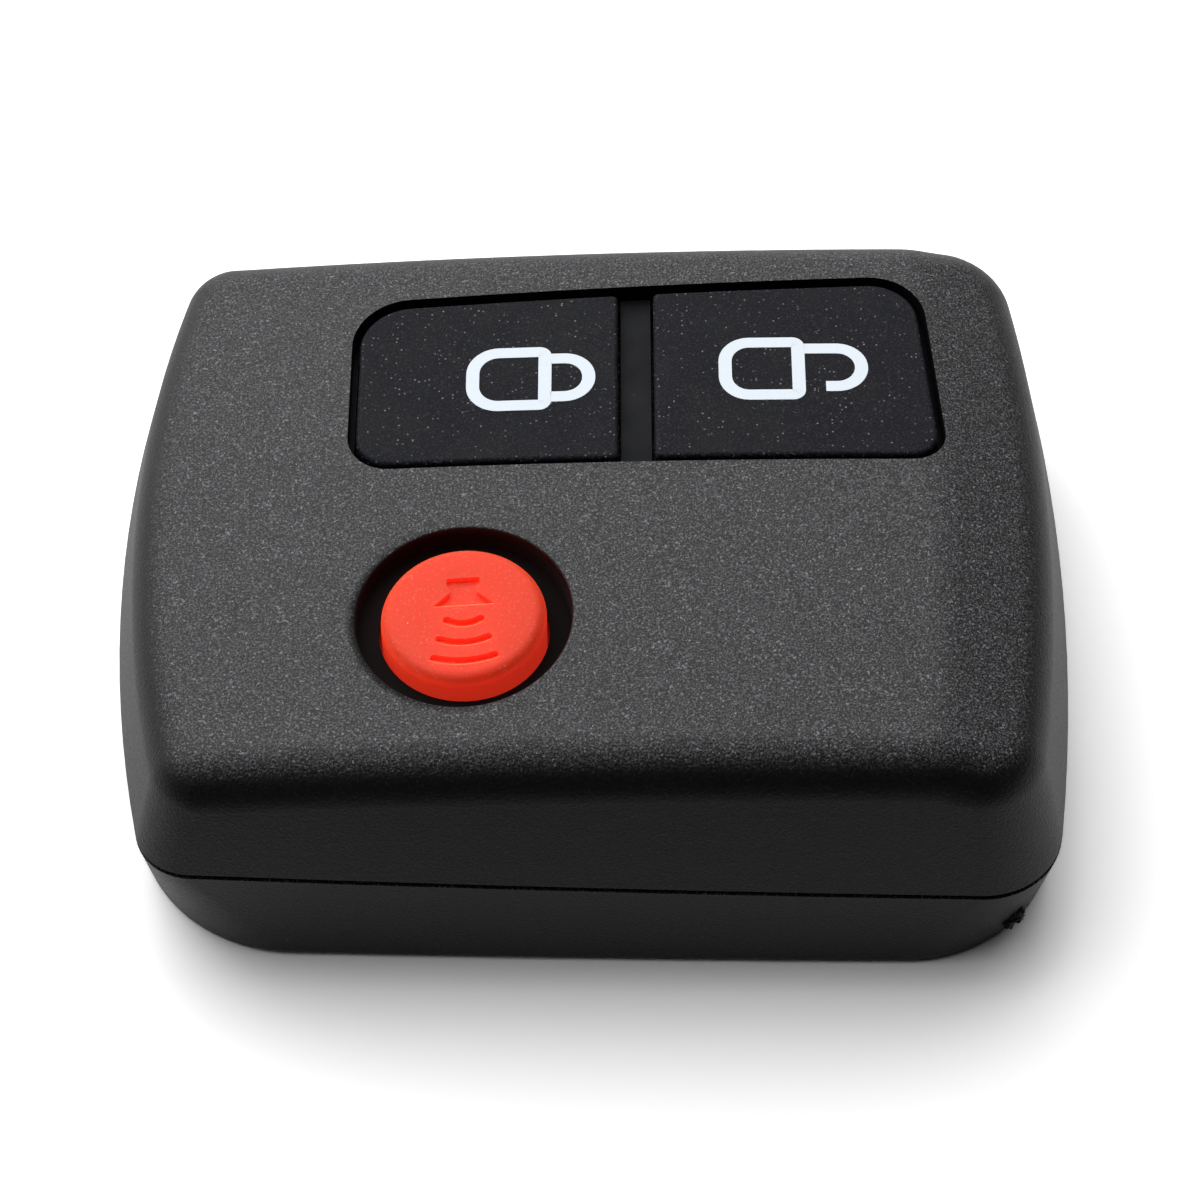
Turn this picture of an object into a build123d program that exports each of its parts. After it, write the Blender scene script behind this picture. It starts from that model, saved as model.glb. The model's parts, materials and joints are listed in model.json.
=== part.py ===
"""Car key fob: two case halves, a soft keypad with three buttons, and its electronics.

Lengths are millimetres. X runs along the long side of the fob, Y across it and Z up.
The origin is under the middle of the case, on the face that it lies on.
"""

import os
from math import cos, radians, sin, sqrt, tan

from build123d import *

os.makedirs("parts", exist_ok=True)

# Case outline from above, at the parting line: four bulged sides with rounded corners
case_length = 50.5
left_end_depth = 37.7
right_end_depth = 39.2
left_end_bulge = 2.39
right_end_bulge = 1.75
long_side_bulge = 0.18
parting_corner_left = 3.0
parting_corner_right = 4.4
crown_corner_left = 2.7
crown_corner_right = 3.4
floor_corner_left = 8.8
floor_corner_right = 8.4
floor_inset = 0.2
least_corner = 0.5

# Case heights and surfaces
case_height = 15.96
parting_height = 7.25
parting_fall_angle = 1.3
draft_angle = 12.9
crown_radius = 400.0
crown_apex_from_right = 9.77
crown_sweep_angle = 24.0
crease_from_right = 7.17
crease_plan_radius = 80.0
crease_radius = 6.0
facet_fall_angle = 18.0
facet_sweep_angle = 90.0
rim_radius = 2.95
floor_edge_radius = 0.6
overrun = 1.0

# Case walls and the seam between the halves
side_wall = 2.0
crown_wall = 1.5
floor_wall = 1.5
parting_gap = 0.36
lip_height = 1.2
lip_wall = 0.9
lip_clearance = 0.1
seat_clearance = 0.05

# Window for the two soft pads, and the strip between them
window_from_left = 12.23
window_from_right = 6.62
window_front = 1.68
window_from_back_left = 5.38
window_from_back_right = 4.98
window_right_lean = 1.0
window_corner_front_left = 2.3
window_corner_front_right = 1.8
window_corner_back_left = 3.2
window_corner_back_right = 3.0
opening_edge_radius = 0.15
pad_gap = 0.42
pad_recess = 0.12
pad_edge_radius = 0.25
pad_corner = 0.3
pad_spacing = 1.9
bridge_centre = 2.24
bridge_width = 1.6
bridge_gap = 0.15
bridge_recess = 1.0

# Keypad mat under the crown, and what stands on it
mat_clearance = 0.1
mat_thickness = 1.0
mat_margin = 1.3
mat_ear_radius = 1.1
mat_foot_radius = 0.5
mat_foot_inset = 3.0
flange_clearance = 0.05
flange_thickness = 0.8
flange_margin = 0.4
flange_spacing = 1.3
leg_radius = 1.6

# Round alarm button and its membrane
alarm_from_left = 18.63
alarm_from_front = 11.45
alarm_well_radius = 5.54
alarm_shelf_thickness = 0.65
alarm_button_radius = 4.24
alarm_button_stand = 0.2
alarm_edge_radius = 0.65
alarm_gap = 0.15
alarm_collar_wall = 1.0
alarm_collar_clearance = 0.13
alarm_membrane_thickness = 0.8
alarm_membrane_margin = 1.3
alarm_skirt_wall = 0.8
alarm_flange_margin = 0.6
alarm_flange_thickness = 0.7

# Horn sign sunk into the alarm button: places along Y from the button's centre, and widths
sign_depth = 0.3
sign_turn_angle = 2.0
horn_back = 2.19
horn_shoulder = 1.74
horn_neck_back = 1.54
horn_neck_front = 1.29
horn_front = 0.46
horn_back_width = 1.7
horn_neck_width = 1.4
horn_front_width = 3.14
wave_stroke = 0.42
wave_bulge = 0.27
wave_widths = (2.15, 2.9, 3.5)
wave_places = (-0.67, -1.83, -2.96)

# Circuit board and what holds it
board_from_collar = 4.8
board_thickness = 1.0
board_inset = 3.25
board_post_radius = 1.6
board_post_inset = 3.4
board_post_end_inset = 1.9
board_pin_radius = 0.7
board_pin_height = 1.7
board_hole_clearance = 0.1

# Push switches
press_travel = 0.3
press_clearance = 0.05
switch_width = 5.2
switch_height = 1.5
switch_corner = 0.4
switch_cover_thickness = 0.15
plunger_radius = 1.2
plunger_clearance = 0.08
plunger_height = 1.5
plunger_stand = 1.95
plunger_edge_radius = 0.15
switch_lead_width = 0.6
switch_lead_reach = 0.9
switch_lead_thickness = 0.2
switch_lead_spacing = 3.6

# Coin cell and its contacts
cell_radius = 10.0
cell_height = 3.2
cell_shift = 0.9
cell_board_gap = 0.65
cell_wall = 0.3
cell_edge_radius = 0.25
cell_cap_radius = 8.7
cell_cap_stand = 0.25
cell_rest_radius = 1.3
cell_rest_ring = 7.2
cell_rest_count = 4
strap_thickness = 0.3
strap_width = 5.0
strap_side_clearance = 0.25
strap_foot = 1.8
strap_bend_radius = 0.5
leaf_thickness = 0.2
leaf_width = 4.0
leaf_base = 3.0
leaf_run = 5.0
leaf_tip = 1.5
leaf_tip_rise = 0.3
leaf_bend_radius = 0.6
contact_clearance = 0.02

# Chips and small parts. On the left their places are shares of the board's half length and half
# depth, and on the right the X shares run from the alarm button's skirt to the board's end.
controller_length = 6.2
controller_width = 4.6
controller_height = 1.6
controller_place_shares = (0.37, -0.38)
chip_edge = 0.25
chip_lead_count = 7
chip_lead_pitch = 0.8
chip_lead_width = 0.35
chip_lead_reach = 0.8
chip_lead_thickness = 0.2
transmitter_width = 4.0
transmitter_height = 0.9
transmitter_place_shares = (-0.82, 0.05)
resonator_length = 5.0
resonator_width = 3.8
resonator_height = 1.3
resonator_corner = 0.8
resonator_place_shares = (-0.8, -0.36)
small_part_length = 1.6
small_part_width = 0.8
small_part_height = 0.6
small_part_pitch = 2.2
small_part_rows = 2
small_part_clearance = 0.6
capacitor_columns = 4
capacitor_place_share = 0.27
resistor_columns = 3
resistor_place_share = 0.7
coil_radius = 1.4
coil_height = 1.8
coil_waist = 0.4
coil_flange = 0.4
coil_place_shares = (-0.83, 0.38)
antenna_width = 0.6
antenna_thickness = 0.1
antenna_inset = 0.25
antenna_start_share = 0.1

# Key ring pocket under the right end, with its pin
pocket_width = 12.0
pocket_depth = 7.4
pocket_board_gap = 1.6
pocket_wall = 1.2
pocket_corner = 0.8
pin_radius = 1.0
pin_from_right = 1.9
pin_height = 2.2
pin_seat = 1.0
pin_clearance = 0.02


def crown_height(x, y):
    """The crown's height over a place, without the end facet."""
    away = (x - crown_apex_x) ** 2 + y**2
    return case_height - crown_radius + sqrt(crown_radius**2 - away)


# Places and heights that follow from the sizes above
half_length = case_length / 2
half_depth = (left_end_depth + right_end_depth) / 4 + long_side_bulge
draft_top = case_height + overrun
crown_inset = (draft_top - parting_height) * tan(radians(draft_angle))
parting_station = (0, parting_corner_left, parting_corner_right)
crown_station = (crown_inset, crown_corner_left, crown_corner_right)
floor_station = (floor_inset, floor_corner_left, floor_corner_right)
crown_apex_x = half_length - crown_apex_from_right
crease_x = half_length - crease_from_right
window_left = window_from_left - half_length
window_right = half_length - window_from_right
window_back_left = left_end_depth / 2 - window_from_back_left
window_back_right = right_end_depth / 2 - window_from_back_right
pad_y = (2 * window_front + window_back_left + window_back_right) / 4
lock_x = (window_left + bridge_centre) / 2
unlock_x = (window_right + bridge_centre) / 2
alarm_x = alarm_from_left - half_length
alarm_y = alarm_from_front - half_depth
alarm_place = (alarm_x, alarm_y)
membrane_radius = alarm_well_radius + alarm_membrane_margin
alarm_collar_height = crown_height(alarm_x - membrane_radius, alarm_y) - crown_wall - alarm_collar_clearance
board_height = alarm_collar_height - board_from_collar
board_top = board_height + board_thickness
board_half_length = half_length - board_inset
board_half_depth = half_depth - board_inset
mat_top_depth = crown_wall + mat_clearance
mat_bottom_depth = mat_top_depth + mat_thickness
flange_top_depth = mat_bottom_depth + flange_clearance
flange_bottom_depth = flange_top_depth + flange_thickness
plunger_top = board_top + plunger_stand
leg_bottom = plunger_top + press_clearance
membrane_top = alarm_collar_height - seat_clearance
membrane_bottom = membrane_top - alarm_membrane_thickness
alarm_flange_top = membrane_bottom - flange_clearance
pocket_left = half_length - pocket_depth
pocket_height = board_height - pocket_board_gap - pocket_wall
cell_x = (side_wall - half_length + pocket_left - pocket_wall) / 2 + cell_shift
cell_top = board_height - cell_board_gap
cell_bottom = cell_top - cell_height
skirt_right = alarm_x + membrane_radius
small_rows_y = controller_width / 2 + chip_lead_reach + small_part_clearance
switch_places = {"lock": (lock_x, pad_y), "unlock": (unlock_x, pad_y), "alarm": alarm_place}


def parting_plane(rise):
    """The slightly tilted plane between the case halves, moved up or down."""
    across = sin(radians(parting_fall_angle))
    upright = cos(radians(parting_fall_angle))
    return Plane((0, 0, parting_height + rise), x_dir=(upright, 0, -across), z_dir=(across, 0, upright))


upper_parting = parting_plane(parting_gap / 2)
lower_parting = parting_plane(-parting_gap / 2)


def case_outline(plane, station, inset):
    """The case's outline at one station of its height, drawn in by inset."""
    station_inset, left_corner, right_corner = station
    whole_inset = station_inset + inset
    left_x = left_end_bulge + whole_inset - half_length
    right_x = half_length - right_end_bulge - whole_inset
    left_y = left_end_depth / 2 - whole_inset
    right_y = right_end_depth / 2 - whole_inset
    middle_x = (left_x + right_x) / 2
    middle_y = (left_y + right_y) / 2 + long_side_bulge
    with BuildSketch(plane) as outline:
        with BuildLine():
            ThreePointArc((left_x, left_y), (whole_inset - half_length, 0), (left_x, -left_y))
            ThreePointArc((left_x, -left_y), (middle_x, -middle_y), (right_x, -right_y))
            ThreePointArc((right_x, -right_y), (half_length - whole_inset, 0), (right_x, right_y))
            ThreePointArc((right_x, right_y), (middle_x, middle_y), (left_x, left_y))
        make_face()
        fillet(outline.vertices().group_by(Axis.X)[0], max(left_corner - inset, least_corner))
        fillet(outline.vertices().group_by(Axis.X)[-1], max(right_corner - inset, least_corner))
    return outline.sketch


def smooth_block(depth):
    """A block whose top is the case's crown, without the end facet, lowered by depth."""
    reach = case_length
    radius = crown_radius - depth
    side = sqrt(radius**2 - reach**2)
    crown_centre = (crown_apex_x, 0, case_height - crown_radius)
    roll = radians(crown_sweep_angle / 2)
    with BuildPart() as block:
        with BuildSketch(Plane(crown_centre, x_dir=(0, 1, 0), z_dir=(cos(roll), 0, sin(roll)))):
            with BuildLine():
                ThreePointArc((-reach, side), (0, radius), (reach, side))
                low = radius - 2 * reach
                Polyline((reach, side), (reach, low), (-reach, low), (-reach, side))
            make_face()
        revolve(axis=Axis(crown_centre, (0, 1, 0)), revolution_arc=crown_sweep_angle)
    return block.part


def crown_block(depth):
    """A block whose top is the case's crown with its sloping end facet, lowered by depth."""
    reach = case_length
    slope = tan(radians(facet_fall_angle))
    swing = radians(facet_sweep_angle / 2)
    crease_height = case_height - (crown_apex_x - crease_x) ** 2 / (2 * crown_radius)
    facet_height = crease_height - depth / cos(radians(facet_fall_angle))
    facet_centre = (crease_x - crease_plan_radius, 0, 0)
    facet_reach = crease_plan_radius + reach
    with BuildPart() as block:
        add(smooth_block(depth))
        outward = (cos(swing), -sin(swing), 0)
        with BuildSketch(Plane(facet_centre, x_dir=outward, z_dir=(-sin(swing), -cos(swing), 0))):
            with BuildLine():
                Polyline(
                    (0, -reach),
                    (0, facet_height + slope * crease_plan_radius),
                    (facet_reach, facet_height - slope * reach),
                    (facet_reach, -reach),
                    close=True,
                )
            make_face()
        revolve(axis=Axis(facet_centre, (0, 0, 1)), revolution_arc=facet_sweep_angle, mode=Mode.INTERSECT)
    return block.part


def crown_layer(outline, bottom, top_depth, bottom_depth=None):
    """A prism of the outline from bottom up to the crown lowered by top_depth, cut off below bottom_depth."""
    with BuildPart() as layer:
        with BuildSketch(Plane.XY.offset(bottom)):
            add(outline)
        extrude(amount=draft_top - bottom)
        add(crown_block(top_depth), mode=Mode.INTERSECT)
        if bottom_depth is not None:
            add(crown_block(bottom_depth), mode=Mode.SUBTRACT)
    return layer.part


def upper_space(inset, depth):
    """The upper half's space, drawn in by inset from the walls and lowered by depth under the crown."""
    with BuildPart() as space:
        add(case_outline(upper_parting, parting_station, inset))
        add(case_outline(Plane.XY.offset(draft_top), crown_station, inset))
        loft(ruled=True)
        add(crown_block(depth), mode=Mode.INTERSECT)
    return space.part


def lower_space(inset, floor):
    """The lower half's space, drawn in by inset from the walls and standing on floor."""
    with BuildPart() as space:
        add(case_outline(Plane.XY.offset(floor), floor_station, inset))
        add(case_outline(lower_parting, parting_station, inset))
        loft(ruled=True)
    return space.part


def disc(place, radius):
    """A round face on the ground plane."""
    with BuildSketch() as sketch:
        with Locations(place):
            Circle(radius)
    return sketch.sketch


def rod(place, radius, bottom, top):
    """A round rod that stands between two heights."""
    with BuildPart() as piece:
        with BuildSketch(Plane.XY.offset(bottom)):
            with Locations(place):
                Circle(radius)
        extrude(amount=top - bottom)
    return piece.part


def window_outline(inset):
    """The pad window's outline on the ground plane, drawn in by inset."""
    corners = (
        (window_left + inset, window_front + inset),
        (window_right - inset, window_front + inset),
        (window_right - window_right_lean - inset, window_back_right - inset),
        (window_left + inset, window_back_left - inset),
    )
    radii = (
        window_corner_front_left,
        window_corner_front_right,
        window_corner_back_right,
        window_corner_back_left,
    )
    with BuildSketch() as outline:
        with BuildLine():
            Polyline(*corners, close=True)
        make_face()
        for corner, radius in zip(corners, radii):
            fillet(outline.vertices().sort_by_distance(corner)[0], max(radius - inset, least_corner))
    return outline.sketch


def pad_outline(side, inset, spacing):
    """One pad's share of the window: side is -1 left of the strip and 1 right of it."""
    inner_x = bridge_centre + side * spacing / 2
    with BuildSketch() as outline:
        add(window_outline(inset))
        with Locations((inner_x + side * case_length / 2, 0)):
            Rectangle(case_length, 2 * case_length, mode=Mode.INTERSECT)
        inner_corners = outline.vertices().sort_by_distance((inner_x, pad_y))[:2]
        fillet(inner_corners, pad_corner)
    return outline.sketch


def border_edges(faces):
    """The edges that only one of the faces has."""
    every_edge = [edge for face in faces for edge in face.edges()]
    return ShapeList(edge for edge in every_edge if sum(edge.is_same(other) for other in every_edge) == 1)


def crown_faces(part):
    """The faces that make up the crown."""
    return part.faces().filter_by(lambda face: face.normal_at().Z > cos(radians(2 * facet_fall_angle)))


def board_place(shares):
    """A place on the board, given as shares of its half length and half depth."""
    return (shares[0] * board_half_length, shares[1] * board_half_depth)


def right_place(share, y):
    """A place on the board's right part, at a share of the way from the alarm skirt to its end."""
    return (skirt_right + share * (board_half_length - skirt_right), y)


# The four corners of the board, left front first, and how each one is held
left_post_x = left_end_bulge + board_post_end_inset - board_half_length
right_post_x = board_half_length - right_end_bulge - board_post_end_inset
left_post_y = left_end_depth / 2 - board_inset - board_post_inset
right_post_y = right_end_depth / 2 - board_inset - board_post_inset
board_corners = [
    (left_post_x, -left_post_y),
    (right_post_x, -right_post_y),
    (right_post_x, right_post_y),
    (left_post_x, left_post_y),
]
pinned_corners = board_corners[0::2]
clamped_corners = board_corners[1::2]

# Upper case half: crowned shell with the window, and the alarm button's well in its collar
with BuildPart() as top_case:
    add(upper_space(0, 0))
    facet_face = crown_faces(top_case).sort_by(Axis.X)[-1]
    fillet(facet_face.edges().sort_by_distance((crease_x, 0, case_height))[0], crease_radius)
    fillet(border_edges(crown_faces(top_case)), rim_radius)
    add(upper_space(side_wall, crown_wall), mode=Mode.SUBTRACT)
    add(case_outline(upper_parting, parting_station, side_wall - lip_wall - lip_clearance))
    extrude(amount=lip_height - parting_gap + seat_clearance, dir=(0, 0, 1), mode=Mode.SUBTRACT)
    collar_radius = alarm_well_radius + alarm_collar_wall
    add(crown_layer(disc(alarm_place, collar_radius), alarm_collar_height, crown_wall / 2))
    for corner in clamped_corners:
        add(crown_layer(disc(corner, board_post_radius), board_top + seat_clearance, crown_wall / 2))
    with BuildSketch():
        add(window_outline(0))
        add(disc(alarm_place, alarm_button_radius + alarm_gap))
    extrude(amount=draft_top, mode=Mode.SUBTRACT)
    well_floor = alarm_collar_height + alarm_shelf_thickness
    add(rod(alarm_place, alarm_well_radius, well_floor, draft_top), mode=Mode.SUBTRACT)
    crown_face = crown_faces(top_case).sort_by(SortBy.AREA)[-1]
    fillet(crown_face.inner_wires().edges(), opening_edge_radius)
top_case.part.label = "top_case"
export_step(top_case.part, "parts/top_case.step")

# Lower case half: hull-like shell with the lip, the board posts and the key ring pocket
pin_x = half_length - pin_from_right
with BuildPart() as lower_hollow:
    add(lower_space(side_wall, floor_wall))
    with BuildSketch():
        with Locations((pocket_left - pocket_wall + case_length / 2, 0)):
            Rectangle(case_length, pocket_width + 2 * pocket_wall)
    extrude(amount=pocket_height + pocket_wall, mode=Mode.SUBTRACT)

with BuildPart() as bottom_case:
    add(lower_space(0, 0))
    fillet(bottom_case.faces().sort_by(Axis.Z)[0].edges(), floor_edge_radius)
    add(lower_hollow.part, mode=Mode.SUBTRACT)
    with BuildSketch(lower_parting):
        add(case_outline(Plane.XY, parting_station, side_wall - lip_wall))
        add(case_outline(Plane.XY, parting_station, side_wall), mode=Mode.SUBTRACT)
    extrude(amount=lip_height, dir=(0, 0, 1))
    for corner in board_corners:
        add(rod(corner, board_post_radius, floor_wall / 2, board_height))
    for corner in pinned_corners:
        add(rod(corner, board_pin_radius, board_height, board_height + board_pin_height))
    with BuildSketch(Plane.XY.offset(floor_wall / 2)):
        with Locations((cell_x, 0)):
            with PolarLocations(cell_rest_ring, cell_rest_count, start_angle=180 / cell_rest_count):
                Circle(cell_rest_radius)
    extrude(amount=cell_bottom - seat_clearance - floor_wall / 2)
    with BuildSketch(Plane.XY.offset(-overrun)):
        with Locations((pocket_left + case_length / 2, 0)):
            RectangleRounded(case_length, pocket_width, pocket_corner)
    extrude(amount=pocket_height + overrun, mode=Mode.SUBTRACT)
    bore_reach = pocket_width / 2 + pin_seat + pin_clearance
    with BuildSketch(Plane.XZ.offset(-bore_reach)):
        with Locations((pin_x, pin_height)):
            Circle(pin_radius + pin_clearance)
    extrude(amount=2 * bore_reach, mode=Mode.SUBTRACT)
bottom_case.part.label = "bottom_case"
export_step(bottom_case.part, "parts/bottom_case.step")

# Steel pin that the key ring passes round
with BuildPart() as key_ring_pin:
    pin_reach = pocket_width / 2 + pin_seat
    with BuildSketch(Plane.XZ.offset(-pin_reach)):
        with Locations((pin_x, pin_height)):
            Circle(pin_radius)
    extrude(amount=2 * pin_reach)
key_ring_pin.part.label = "key_ring_pin"
export_step(key_ring_pin.part, "parts/key_ring_pin.step")

# Soft mat under the crown, with the strip between the pads and four feet on the board
pad_hole_inset = pad_gap - bridge_gap
pad_hole_spacing = pad_spacing - 2 * bridge_gap
ear_places = [(window_left - mat_margin, pad_y), (window_right + mat_margin, pad_y)]
strip_places = [
    (bridge_centre, window_front + mat_foot_inset),
    (bridge_centre, window_back_left - mat_foot_inset),
]
with BuildSketch() as mat_plan:
    add(window_outline(-mat_margin))
    for place in ear_places:
        add(disc(place, mat_ear_radius))
    for side in (-1, 1):
        add(pad_outline(side, pad_hole_inset, pad_hole_spacing), mode=Mode.SUBTRACT)
with BuildSketch() as strip_plan:
    add(window_outline(bridge_gap))
    with Locations((bridge_centre, 0)):
        Rectangle(bridge_width, 2 * case_length, mode=Mode.INTERSECT)

with BuildPart() as keypad_mat:
    add(crown_layer(mat_plan.sketch, board_top, mat_top_depth, mat_bottom_depth))
    add(crown_layer(strip_plan.sketch, board_top, bridge_recess, mat_bottom_depth))
    mat_middle_depth = mat_top_depth + mat_thickness / 2
    for place in ear_places + strip_places:
        add(crown_layer(disc(place, mat_foot_radius), board_top + seat_clearance, mat_middle_depth))
keypad_mat.part.label = "keypad_mat"
export_step(keypad_mat.part, "parts/keypad_mat.step")

# The two soft pads, each with a flange under the mat and a leg that reaches its switch
for name, side in (("lock", -1), ("unlock", 1)):
    with BuildPart() as pad_button:
        with BuildSketch(Plane.XY.offset(leg_bottom)):
            add(pad_outline(side, pad_gap, pad_spacing))
        extrude(amount=draft_top - leg_bottom)
        add(smooth_block(pad_recess), mode=Mode.INTERSECT)
        fillet(crown_faces(pad_button).edges(), pad_edge_radius)
        add(crown_block(flange_bottom_depth), mode=Mode.SUBTRACT)
        flange = pad_outline(side, -flange_margin, flange_spacing)
        add(crown_layer(flange, leg_bottom, flange_top_depth, flange_bottom_depth))
        add(crown_layer(disc(switch_places[name], leg_radius), leg_bottom, flange_top_depth))
    pad_button.part.label = f"{name}_button"
    export_step(pad_button.part, f"parts/{name}_button.step")

# Horn sign about its own centre: a flared horn that points to the front, and three sound waves
with BuildSketch() as alarm_sign:
    with BuildLine():
        Polyline(
            (0, horn_back),
            (-horn_back_width / 2, horn_back),
            (-horn_back_width / 2, horn_shoulder),
            (-horn_neck_width / 2, horn_neck_back),
            (-horn_neck_width / 2, horn_neck_front),
            (-horn_front_width / 2, horn_front),
            (0, horn_front),
        )
        mirror(about=Plane.YZ)
    make_face()
    for width, place in zip(wave_widths, wave_places):
        wave_end = (width - wave_stroke) / 2
        with BuildLine() as wave_path:
            ThreePointArc((-wave_end, place + wave_bulge), (0, place), (wave_end, place + wave_bulge))
        SlotArc(wave_path.edge(), wave_stroke)

# Round alarm button with the sunk sign, a flange under the membrane and a leg to its switch
with BuildPart() as sign_cut:
    with BuildSketch(Plane.XY.offset(membrane_top)):
        with Locations(alarm_place):
            add(alarm_sign.sketch, rotation=sign_turn_angle)
    extrude(amount=draft_top - membrane_top)
    add(crown_block(sign_depth - alarm_button_stand), mode=Mode.SUBTRACT)

with BuildPart() as alarm_button:
    add(crown_layer(disc(alarm_place, alarm_button_radius), membrane_bottom, -alarm_button_stand))
    fillet(crown_faces(alarm_button).edges(), alarm_edge_radius)
    add(sign_cut.part, mode=Mode.SUBTRACT)
    flange_radius = alarm_button_radius + alarm_flange_margin
    add(rod(alarm_place, alarm_button_radius, alarm_flange_top, membrane_top))
    add(rod(alarm_place, flange_radius, alarm_flange_top - alarm_flange_thickness, alarm_flange_top))
    add(rod(alarm_place, leg_radius, leg_bottom, alarm_flange_top))
alarm_button.part.label = "alarm_button"
export_step(alarm_button.part, "parts/alarm_button.step")

# Red membrane under the alarm well, round the button, with a skirt that stands on the board
with BuildPart() as alarm_membrane:
    add(rod(alarm_place, membrane_radius, board_top + seat_clearance, membrane_top))
    skirt_radius = membrane_radius - alarm_skirt_wall
    add(rod(alarm_place, skirt_radius, board_top, membrane_bottom), mode=Mode.SUBTRACT)
    hole_radius = alarm_button_radius + alarm_gap
    add(rod(alarm_place, hole_radius, board_top, membrane_top + overrun), mode=Mode.SUBTRACT)
alarm_membrane.part.label = "alarm_membrane"
export_step(alarm_membrane.part, "parts/alarm_membrane.step")

# Circuit board with holes for the two locating pins
with BuildPart() as circuit_board:
    with BuildSketch(Plane.XY.offset(board_height)):
        add(case_outline(Plane.XY, parting_station, board_inset))
        with Locations(*pinned_corners):
            Circle(board_pin_radius + board_hole_clearance, mode=Mode.SUBTRACT)
    extrude(amount=board_thickness)
circuit_board.part.label = "circuit_board"
export_step(circuit_board.part, "parts/circuit_board.step")

# Copper antenna loop along the board's right end
antenna_reach = board_half_length * (1 - antenna_start_share)
antenna_edge = board_inset + antenna_inset
with BuildPart() as antenna_loop:
    with BuildSketch(Plane.XY.offset(board_top)):
        add(case_outline(Plane.XY, parting_station, antenna_edge))
        add(case_outline(Plane.XY, parting_station, antenna_edge + antenna_width), mode=Mode.SUBTRACT)
        with Locations((board_half_length - antenna_reach / 2, 0)):
            Rectangle(antenna_reach, case_length, mode=Mode.INTERSECT)
    extrude(amount=antenna_thickness)
antenna_loop.part.label = "antenna_loop"
export_step(antenna_loop.part, "parts/antenna_loop.step")

# Push switches: a body with a metal cover and a plunger that its button presses
switch_top = board_top + switch_height
plunger_bottom = plunger_top - plunger_height
for name, place in switch_places.items():
    with BuildPart() as switch_body:
        with BuildSketch(Plane.XY.offset(board_top)):
            with Locations(place):
                RectangleRounded(switch_width, switch_width, switch_corner)
                Circle(plunger_radius + plunger_clearance, mode=Mode.SUBTRACT)
        extrude(amount=switch_height)
    switch_body.part.label = f"{name}_switch_body"
    export_step(switch_body.part, f"parts/{name}_switch_body.step")

    with BuildPart() as switch_cover:
        with BuildSketch(Plane.XY.offset(switch_top)):
            with Locations(place):
                RectangleRounded(switch_width, switch_width, switch_corner)
                Circle(plunger_radius + plunger_clearance, mode=Mode.SUBTRACT)
        extrude(amount=switch_cover_thickness)
    switch_cover.part.label = f"{name}_switch_cover"
    export_step(switch_cover.part, f"parts/{name}_switch_cover.step")

    with BuildPart() as plunger:
        add(rod(place, plunger_radius, plunger_bottom, plunger_top))
        fillet(plunger.faces().sort_by(Axis.Z)[-1].edges(), plunger_edge_radius)
    plunger.part.label = f"{name}_plunger"
    export_step(plunger.part, f"parts/{name}_plunger.step")

# Leads of the three switches, soldered on the board
lead_x = (switch_width + switch_lead_reach) / 2
with BuildPart() as switch_leads:
    with BuildSketch(Plane.XY.offset(board_top)):
        with Locations(*switch_places.values()):
            with GridLocations(2 * lead_x, switch_lead_spacing, 2, 2):
                Rectangle(switch_lead_reach, switch_lead_width)
    extrude(amount=switch_lead_thickness)
switch_leads.part.label = "switch_leads"
export_step(switch_leads.part, "parts/switch_leads.step")

# Controller chip with its two rows of leads
controller_share, controller_depth_share = controller_place_shares
controller_y = controller_depth_share * board_half_depth
controller_place = right_place(controller_share, controller_y)
with BuildPart() as controller_chip:
    with BuildSketch(Plane.XY.offset(board_top)):
        with Locations(controller_place):
            Rectangle(controller_length, controller_width)
    extrude(amount=controller_height)
    chamfer(controller_chip.faces().sort_by(Axis.Z)[-1].edges(), chip_edge)
controller_chip.part.label = "controller_chip"
export_step(controller_chip.part, "parts/controller_chip.step")

with BuildPart() as chip_leads:
    with BuildSketch(Plane.XY.offset(board_top)):
        with Locations(controller_place):
            with GridLocations(chip_lead_pitch, controller_width + chip_lead_reach, chip_lead_count, 2):
                Rectangle(chip_lead_width, chip_lead_reach)
    extrude(amount=chip_lead_thickness)
chip_leads.part.label = "chip_leads"
export_step(chip_leads.part, "parts/chip_leads.step")

# Transmitter chip, a flat square
with BuildPart() as transmitter_chip:
    with BuildSketch(Plane.XY.offset(board_top)):
        with Locations(board_place(transmitter_place_shares)):
            Rectangle(transmitter_width, transmitter_width)
    extrude(amount=transmitter_height)
    chamfer(transmitter_chip.edges().filter_by(Axis.Z), chip_edge)
transmitter_chip.part.label = "transmitter_chip"
export_step(transmitter_chip.part, "parts/transmitter_chip.step")

# Resonator in its metal can
with BuildPart() as resonator:
    with BuildSketch(Plane.XY.offset(board_top)):
        with Locations(board_place(resonator_place_shares)):
            RectangleRounded(resonator_length, resonator_width, resonator_corner)
    extrude(amount=resonator_height)
    fillet(resonator.faces().sort_by(Axis.Z)[-1].edges(), chip_edge)
resonator.part.label = "resonator"
export_step(resonator.part, "parts/resonator.step")

# Small parts in rows: capacitors in front of the controller and resistors behind it
rows_reach = small_rows_y + (small_part_pitch + small_part_width) / 2
for name, share, side, columns in (
    ("capacitors", capacitor_place_share, -1, capacitor_columns),
    ("resistors", resistor_place_share, 1, resistor_columns),
):
    with BuildPart() as small_parts:
        with BuildSketch(Plane.XY.offset(board_top)):
            with Locations(right_place(share, controller_y + side * rows_reach)):
                with GridLocations(small_part_pitch, small_part_pitch, columns, small_part_rows):
                    Rectangle(small_part_length, small_part_width)
        extrude(amount=small_part_height)
    small_parts.part.label = name
    export_step(small_parts.part, f"parts/{name}.step")

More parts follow.
